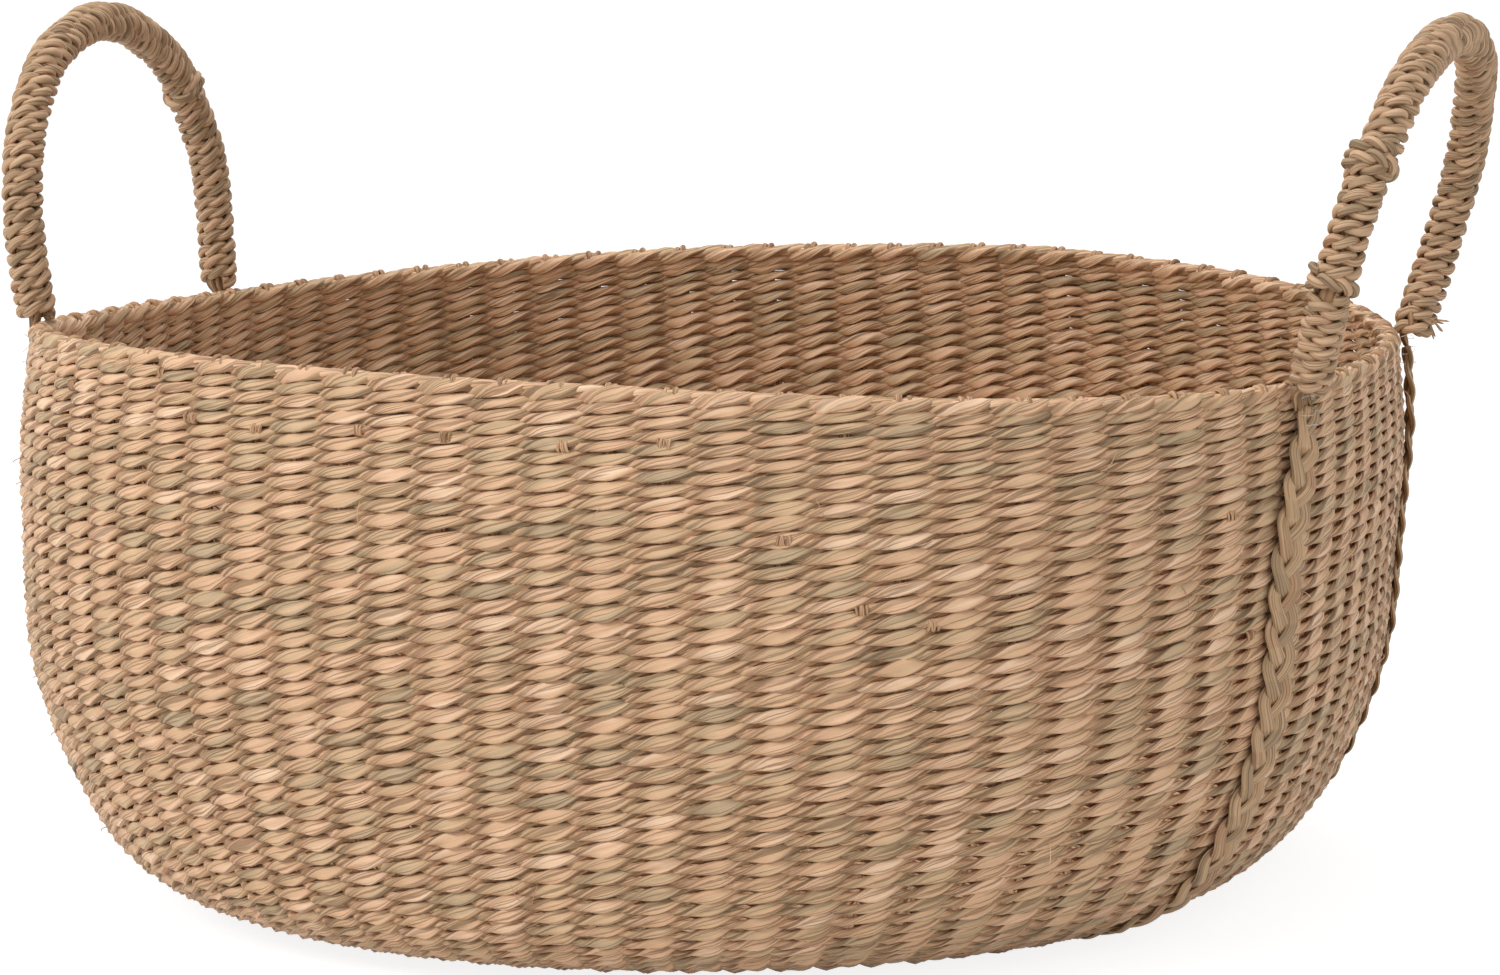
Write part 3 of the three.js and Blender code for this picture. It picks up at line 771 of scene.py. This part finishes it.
# Painted shade: each strand's colour darkens towards its edges, where it meets its neighbours
edge = y.do("ABSOLUTE").do("POWER", 6.0)
mesh = plait.look(plait.crease(tube, y, z), fibre, strand * 0.3 + first * 0.4, edge * 0.25)
plait.finish(mesh, centre + across * (aside * narrow) + outward * lift, plaited_grass)
for side in strap_ends:
    guide, length = strap_guide(side)
    strap = grow(f"{side}_strap_plait", plait, guide, {
        "Length": length, "Period": 36 * MM, "Reach": 5.7 * MM, "Lift": 0.9 * MM, "Width": 5.1 * MM,
        "Thickness": 1.0 * MM,
    }, "basket")
    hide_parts(f"{side}_strap")

# Handles
# Each handle is a loop of bundled fibre, wound closely with a two-ply seagrass cord. Bare necks of the
# fibre stand outside the border, where the handle leans.
# A loop's outline is given in shares of its half span and height, from its near foot and from its far
# foot up to its top, and its near half is shifted along the basket.
loops = {
    "left": {"span": 160.0 * MM, "height": 105.2 * MM, "lean": math.radians(6.7), "shift": 2.4 * MM,
             "far_shares": ((1, 0), (1.0, 0.25), (0.95, 0.5), (0.76, 0.76), (0.5, 0.91)),
             "shares": ((1, 0), (1.04, 0.25), (0.98, 0.5), (0.77, 0.76), (0.5, 0.91))},
    "right": {"span": 164.5 * MM, "height": 115.5 * MM, "lean": math.radians(15.5), "shift": 0,
              "far_shares": ((1, 0), (1.12, 0.2), (1.14, 0.48), (0.94, 0.75), (0.6, 0.92)),
              "shares": ((1, 0), (1.06, 0.2), (1.04, 0.48), (0.87, 0.75), (0.59, 0.92))},
}


def hinge(side):
    """The middle of the two feet of a handle and the axis through them, which are those of its joint."""
    joint = next(j for j in frame["joints"] if j["name"] == f"{side}_handle_tilt")
    return np.array(joint["pos_m"]), np.array(joint["axis"])


def loop_guide(side, span, height, lean, shares, shift, far_shares):
    """The middle line of a handle, which stands on the axis of its joint, and the directions across it."""
    middle, axis = hinge(side)
    axis = unit(axis)
    rise = np.array([math.copysign(math.sin(lean), middle[0]), 0, math.cos(lean)])
    rise = unit(rise - axis * rise.dot(axis))
    outline = [(-w, h, shift) for w, h in shares] + [(0, 1, shift)]
    outline += [(w, h, shift * min(h / 0.5, 1)) for w, h in far_shares[::-1]]
    points = smooth_path([
        middle + axis * (w * span / 2) + rise * (h * height) + (x, 0, 0) for w, h, x in outline
    ])
    lengths = reach(points)
    along = unit(np.gradient(points, axis=0))
    facing = np.tile(np.cross(axis, rise), (len(points), 1))
    lines = [even(line, lengths) for line in (points, facing, np.cross(along, facing))]
    mesh = guide_mesh(f"{side}_loop_guide", dict(zip(("centre", "facing", "side"), lines)))
    return mesh, lengths[-1], lines


wound_grass = grass_shader("wound_cord", (
    (158, 132, 102), (184, 152, 118), (206, 170, 136), (190, 144, 110)))
steps_a_turn = 40
# The cord has two plies, laid round each other, and is coiled round the loop. Where a winding runs past
# an end of the loop, its middle line goes straight on.
wound = Tree("wound_cord", ["Length", "Start", "Pitch", "Turns", "Hand", "Radius", "Apart", "Ply", "Lay"])
tube, strand, (x, y, z) = wound.tubes(wound["Turns"], wound["Turns"] * steps_a_turn, 2, 9)
at = wound["Start"] + x * wound["Pitch"]
loose = wound.noise(wound.vector(x * 0.45, wound["Start"] * 900.0, 0.0)) - 0.5
share = (at + loose * (1.6 * MM)) / wound["Length"]
centre, facing, aside = (wound.read(line, share) for line in ("centre", "facing", "side"))
past = (share - 1).do("MAXIMUM", 0.0) + share.do("MINIMUM", 0.0)
angle = x * wound["Hand"] * (2 * math.pi)
radial = facing * angle.do("COSINE") + aside * angle.do("SINE")
round_way = (aside * angle.do("COSINE") - facing * angle.do("SINE")) * wound["Hand"]
forward = facing.do("CROSS_PRODUCT", aside)
girth = wound["Radius"] * (2 * math.pi)
along = (round_way * girth + forward * wound["Pitch"]).do("NORMALIZE")
across = radial.do("CROSS_PRODUCT", along)
cord_turn = (girth.do("POWER", 2.0) + wound["Pitch"].do("POWER", 2.0)).do("SQRT")
drift = wound.noise(wound.vector(x * 0.7, 5.0, 0.0)) - 0.5
twist = (x * cord_turn / wound["Lay"] + strand * 0.5 + drift * 0.8) * (2 * math.pi)
grain = wound.noise(wound.vector(x * 2.2, strand * 7.0, 0.0), 2.0) - 0.5
ply = wound["Ply"] * (1 + grain * 0.4)
flat_y = y * (twist.do("COSINE") * twist.do("COSINE") * 0.3 + 0.95)
flat_z = z * (twist.do("SINE") * twist.do("SINE") * 0.15 + 0.9)
end_share = (0.5 - (x / wound["Turns"] - 0.5).do("ABSOLUTE")) * wound["Turns"]
seat = wound.ramp(end_share, 0.0, 0.7, -0.9 * MM, 0.0)
out = wound["Radius"] + seat + loose * (0.7 * MM)
out = out + twist.do("COSINE") * wound["Apart"] + flat_z * ply
sideways = twist.do("SINE") * wound["Apart"] + flat_y * ply
fibre = wound.vector(x * cord_turn, y * (1.5 * MM), z * (1.5 * MM) + strand)
mesh = wound.look(tube, fibre, strand * 0.2 + 0.35 + grain * 1.4, 0.0)
centre = centre + forward * (past * wound["Length"])
wound.finish(mesh, centre + radial * out + across * sideways, wound_grass)

core_fibre = grass_shader("core_fibre", ((150, 118, 86), (172, 136, 98), (140, 104, 76)))
core = Tree("core", ["Length", "Start", "End", "Radius"])
tube, strand, (x, y, z) = core.tubes(1.0, 80, 1, 12)
at = core["Start"] + x * (core["End"] - core["Start"])
centre, facing, aside = (core.read(line, at / core["Length"]) for line in ("centre", "facing", "side"))
radius = core["Radius"]
mesh = core.look(tube, core.vector(at, y * radius, z * radius), 0.4, 0.0)
core.finish(mesh, centre + facing * (z * radius) - aside * (y * radius), core_fibre)

# Where each winding starts and stops, its pitch and its hand. The places are measured from the near end
# of the loop, but the stop of a near winding lies past the loop's far end.
windings = {
    "left": {"near": (-3.4 * MM, 2.0 * MM, 4.7 * MM, 1)},
    "right": {"foot": (-1.5 * MM, 36.0 * MM, 4.5 * MM, -1), "near": (35.0 * MM, 5.0 * MM, 4.95 * MM, 1)},
}
cord_half = 2.6 * MM
loop_lines = {}
for side, loop in loops.items():
    guide, length, loop_lines[side] = loop_guide(side, **loop)
    body = f"{side}_handle"
    for part, (start, stop, wrap_pitch, hand) in windings[side].items():
        stop = stop if part == "foot" else length + stop
        winding = grow(f"{side}_cord_{part}", wound, guide, {
            "Length": length, "Start": start + cord_half, "Pitch": wrap_pitch,
            "Turns": (stop - start - 2 * cord_half) / wrap_pitch, "Hand": hand,
            "Radius": 5.2 * MM, "Apart": 1.2 * MM, "Ply": 1.5 * MM, "Lay": 13 * MM,
        }, body)
        replaced = [f"{side}_winding_{part}"] + ([f"{side}_winding_far"] if part == "near" else [])
        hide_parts(*replaced)
    heart = grow(f"{side}_core", core, guide, {
        "Length": length, "Start": 3 * MM, "End": length - 3 * MM, "Radius": 3.9 * MM,
    }, body)
    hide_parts(f"{side}_handle_core")

# Necks and knots
# The fibres of a handle's core leave its winding bare and run down into the strap, which is stitched
# to the rim with clear thread. Where one cord ends on the handle, it is turned over itself in a knot.
def loop_place(side, share):
    """The middle of a loop at a share of its length, with the directions facing out, aside and along."""
    shares = np.linspace(0, 1, guide_points)
    centre, facing, aside = (
        np.array([np.interp(share, shares, column) for column in line.T]) for line in loop_lines[side])
    return centre, facing, aside, np.cross(facing, aside)


# A direction that no fibre or cord follows
no_lay = (0.31, 0.87, 0.38)


def square_ways(line):
    """Two directions that are square to a line and to each other, at each of its points."""
    along = unit(np.gradient(line, axis=0))
    first = unit(np.cross(along, no_lay))
    return first, np.cross(along, first)


def fibres(name, lines, radius, material, sides=6, thin=0.35, taper=0.15, tone_step=0.37):
    """Round fibres along lines of points, thinner at their ends."""
    points, faces, lay, tone = [], [], [], []
    ring = np.linspace(0, 2 * math.pi, sides, endpoint=False)
    for number, line in enumerate(lines):
        line = smooth_path(line, 8)
        first, second = square_ways(line)
        run = reach(line)
        width = radius * np.interp(run / run[-1], (0, taper, 1 - taper, 1), (thin, 1, 1, thin))
        base = len(points)
        for i, centre in enumerate(line):
            for angle in ring:
                cosine, sine = math.cos(angle), math.sin(angle)
                points.append(centre + width[i] * (first[i] * cosine + second[i] * sine))
                lay.append((run[i], radius * cosine, radius * sine + number * tone_step))
                tone.append((number * tone_step) % 1)
        for i in range(len(line) - 1):
            for k in range(sides):
                low, next_k = base + i * sides, (k + 1) % sides
                faces.append((low + k, low + next_k, low + sides + next_k, low + sides + k))
        faces.append(tuple(range(base + sides - 1, base - 1, -1)))
        faces.append(tuple(range(base + (len(line) - 1) * sides, base + len(line) * sides)))
    mesh = bpy.data.meshes.new(name)
    mesh.from_pydata([tuple(p) for p in points], [], faces)
    mesh.attributes.new("lay", "FLOAT_VECTOR", "POINT").data.foreach_set("vector", np.array(lay, "f").ravel())
    mesh.attributes.new("tone", "FLOAT", "POINT").data.foreach_set("value", np.array(tone, "f"))
    mesh.attributes.new("shade", "FLOAT", "POINT").data.foreach_set("value", np.zeros(len(points), "f"))
    mesh.shade_smooth()
    mesh.materials.append(material)
    return placed(name, mesh)


def cord_lines(path, apart=1.2 * MM, lay=12 * MM):
    """The two plies of a cord that follows a path."""
    path = smooth_path(path, 6)
    run = reach(path)
    first, second = square_ways(path)
    lines = []
    for ply in (0, math.pi):
        turn = (run / lay * 2 * math.pi + ply)[:, None]
        lines.append(path + (first * np.cos(turn) + second * np.sin(turn)) * apart)
    return lines


# Where a knot stands on a loop, the angle at which it bulges, how far, and how many turns it has
knot_radius = 6.4 * MM
knot_pitch = 4.4 * MM
knot_slant = 2.2 * MM
knots = {
    "left_knot": ("left", 0.735, 60, 1.8 * MM, 1.3), "right_knot": ("right", 0.226, 200, 1.8 * MM, 1.7),
    "right_turned_end": ("right", 0.106, 170, 1.6 * MM, 1.5),
}
for name, (side, share, bulge_way, bulge_out, turns) in knots.items():
    centre, facing, aside, forward = loop_place(side, share)
    knot_path = []
    for turn in np.arange(-0.3, turns - 0.29, 1 / 9):
        turned = turn * 2 * math.pi
        angle = turned + math.radians(bulge_way)
        spread = knot_radius + bulge_out * max(math.cos(turned), 0) ** 2 * (0.75 + 0.25 * turn)
        along = (turn - turns / 2 + 0.3) * knot_pitch + knot_slant * math.sin(turned)
        radial = facing * math.cos(angle) + aside * math.sin(angle)
        knot_path.append(centre + radial * spread + forward * along)
    knot = fibres(name, cord_lines(knot_path), 1.55 * MM, wound_grass, 8, 0.8)
    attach(knot, f"{side}_handle")

# Half width and half depth of a neck at two heights over its foot, and those heights
neck_levels = ((4.4 * MM, 2.0 * MM, 1.5 * MM), (2.6 * MM, 2.4 * MM, 9 * MM))
neck_fibres = 9
dice = np.random.default_rng(7)
for side, loop in loops.items():
    middle, axis = hinge(side)
    end = math.copysign(1, middle[0])
    for part, sign in side_signs.items():
        foot = middle + sign * axis * loop["span"] / 2 + (loop["shift"] * (sign < 0), 0, 0)
        outward = unit(end_outward(end, foot[1], 0.95) * (1, 1, 0))
        aside = np.cross(outward, (0, 0, 1))
        stand = strap_stand[part, end]
        below = end_wall(end, foot[1], 0.955) + outward * stand
        lines = []
        for number in range(neck_fibres):
            spread = (number % 5 - 2) / 2 + dice.uniform(-0.2, 0.2)
            depth = dice.uniform(-1, 1)
            edge = end_wall(end, foot[1], 0.985) + outward * (stand + 0.4 * depth * MM)
            line = [below + aside * spread * (4.6 * MM), edge + aside * spread * (3.6 * MM)]
            for half_width, half_depth, height in neck_levels:
                above = foot + aside * spread * half_width + outward * (depth * half_depth)
                line.append(above + np.array((0, 0, height)))
            lines.append(line)
        neck = fibres(f"{side}_neck_{part}", lines, 1.0 * MM, core_fibre)
        low = tuple(foot - np.array((0, 0, 5 * MM)))
        high = tuple(foot + np.array((0, 0, 3 * MM)))
        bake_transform(neck)

# Loose fibres and thread
# Dry fibres split off the strands and stand out of the wall, the cord's tail frays at the far foot of
# the right handle, and clear nylon thread ties each strap's top through the border.
hair_count = 90
hair_angles = dice.uniform(0, 2 * math.pi, hair_count)
hair_shares = dice.uniform(0.12, 0.97, hair_count)
hair_lengths = dice.uniform(3, 9, hair_count)
hairs = []
for angle, share, length in zip(hair_angles, hair_shares, hair_lengths):
    root = wall_at(angle, share)
    outward = np.array((math.cos(angle), math.sin(angle), 0))
    way = np.cross(outward, (0, 0, 1)) * dice.uniform(-1, 1) + np.array((0, 0, dice.uniform(-0.8, 0.8)))
    way = unit(way) * length * MM
    bend = outward * dice.uniform(0.6, 2.2) * MM
    hairs.append([
        root - outward * MM, root + way * 0.35 + bend * 0.6, root + way * 0.7 + bend * 1.1, root + way + bend,
    ])
hair = fibres("loose_fibres", hairs, 0.16 * MM, woven_grass, 4)

# Angle and height share of the places where the cut ends of added stakes show between the rows
stick_places = (
    (177, 0.784), (-115, 0.899), (-108, 0.894), (-99, 0.905), (-93, 0.904), (-119, 0.965), (-133.5, 0.924),
    (-87, 0.9), (-80.5, 0.912), (-29, 0.791), (-25, 0.578), (-65, 0.661), (-59, 0.636), (-71.5, 0.769),
    (60, 0.9), (95, 0.86), (120, 0.9), (20, 0.8),
)
sunk = 1.2 * MM
sticks = []
for angle, share in stick_places:
    angle = math.radians(angle)
    ahead = unit(wall_at(angle + 0.02, share) - wall_at(angle - 0.02, share))
    outward = np.cross(ahead, (0, 0, 1))
    for number in range(dice.integers(3, 6)):
        root = wall_at(angle, share) + ahead * ((number - 2) * 0.95 + dice.uniform(-0.3, 0.3)) * MM
        root = root + outward * dice.uniform(-0.7, 0.1) * MM
        tilt = np.array((0, 0, 1.7 * MM)) + ahead * dice.uniform(-0.5, 0.5) * MM
        sticks.append([
            root - tilt - outward * sunk, root - tilt * 0.6, root + tilt * 0.6, root + tilt - outward * sunk,
        ])
stick_piece = fibres("added_stakes", sticks, 0.5 * MM, nub_fibre, 6, 0.9)

centre, facing, aside, forward = loop_place("right", 0.988)
start = centre + facing * (4.5 * MM)
tail = []
for number in range(9):
    way = facing * dice.uniform(0.6, 1.4) + aside * dice.uniform(-0.7, 0.7)
    way = way + forward * dice.uniform(-0.2, 0.9)
    tip = start + way * dice.uniform(4.5, 7) * MM + (0, 0, dice.uniform(-2, 1) * MM)
    tail.append([start, start + way * (2.4 * MM), tip])
frayed = fibres("frayed_tail", tail, 0.4 * MM, wound_grass, 5)

nylon = shader("clear_thread", {"Base Color": (0.85, 0.85, 0.83, 1.0), "Roughness": 0.12, "Alpha": 0.4})[0]
thread_side = np.array((0, 4.2 * MM, 0))
# Share of the wall's height at which each turn of the thread lies, and how far it slants
thread_turns = ((0.972, 1.2 * MM), (0.948, -0.8 * MM), (0.925, 0.6 * MM))
threads = []
for end in (-1, 1):
    for part, sign in side_signs.items():
        y = sign * strap_ends[part][end][0]
        outward = end_outward(end, y, 0.95)
        for share, slant in thread_turns:
            root = end_wall(end, y, share)
            front = root + outward * (strap_stand[part, end] + 1.7 * MM)
            slip = np.array((0, 0, slant))
            threads.append([
                root - thread_side * 1.5 - outward * MM, front - thread_side + slip,
                front + thread_side - slip, root + thread_side * 1.5 - outward * MM,
            ])
thread = fibres("clear_thread", threads, 0.15 * MM, nylon, 6, 1)
for piece, body, slot in (
    (hair, "basket", "woven_grass"), (stick_piece, "basket", "woven_grass"),
    (frayed, "right_handle", "wound_cord"), (thread, "basket", "plaited_grass"),
):
    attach(piece, body)
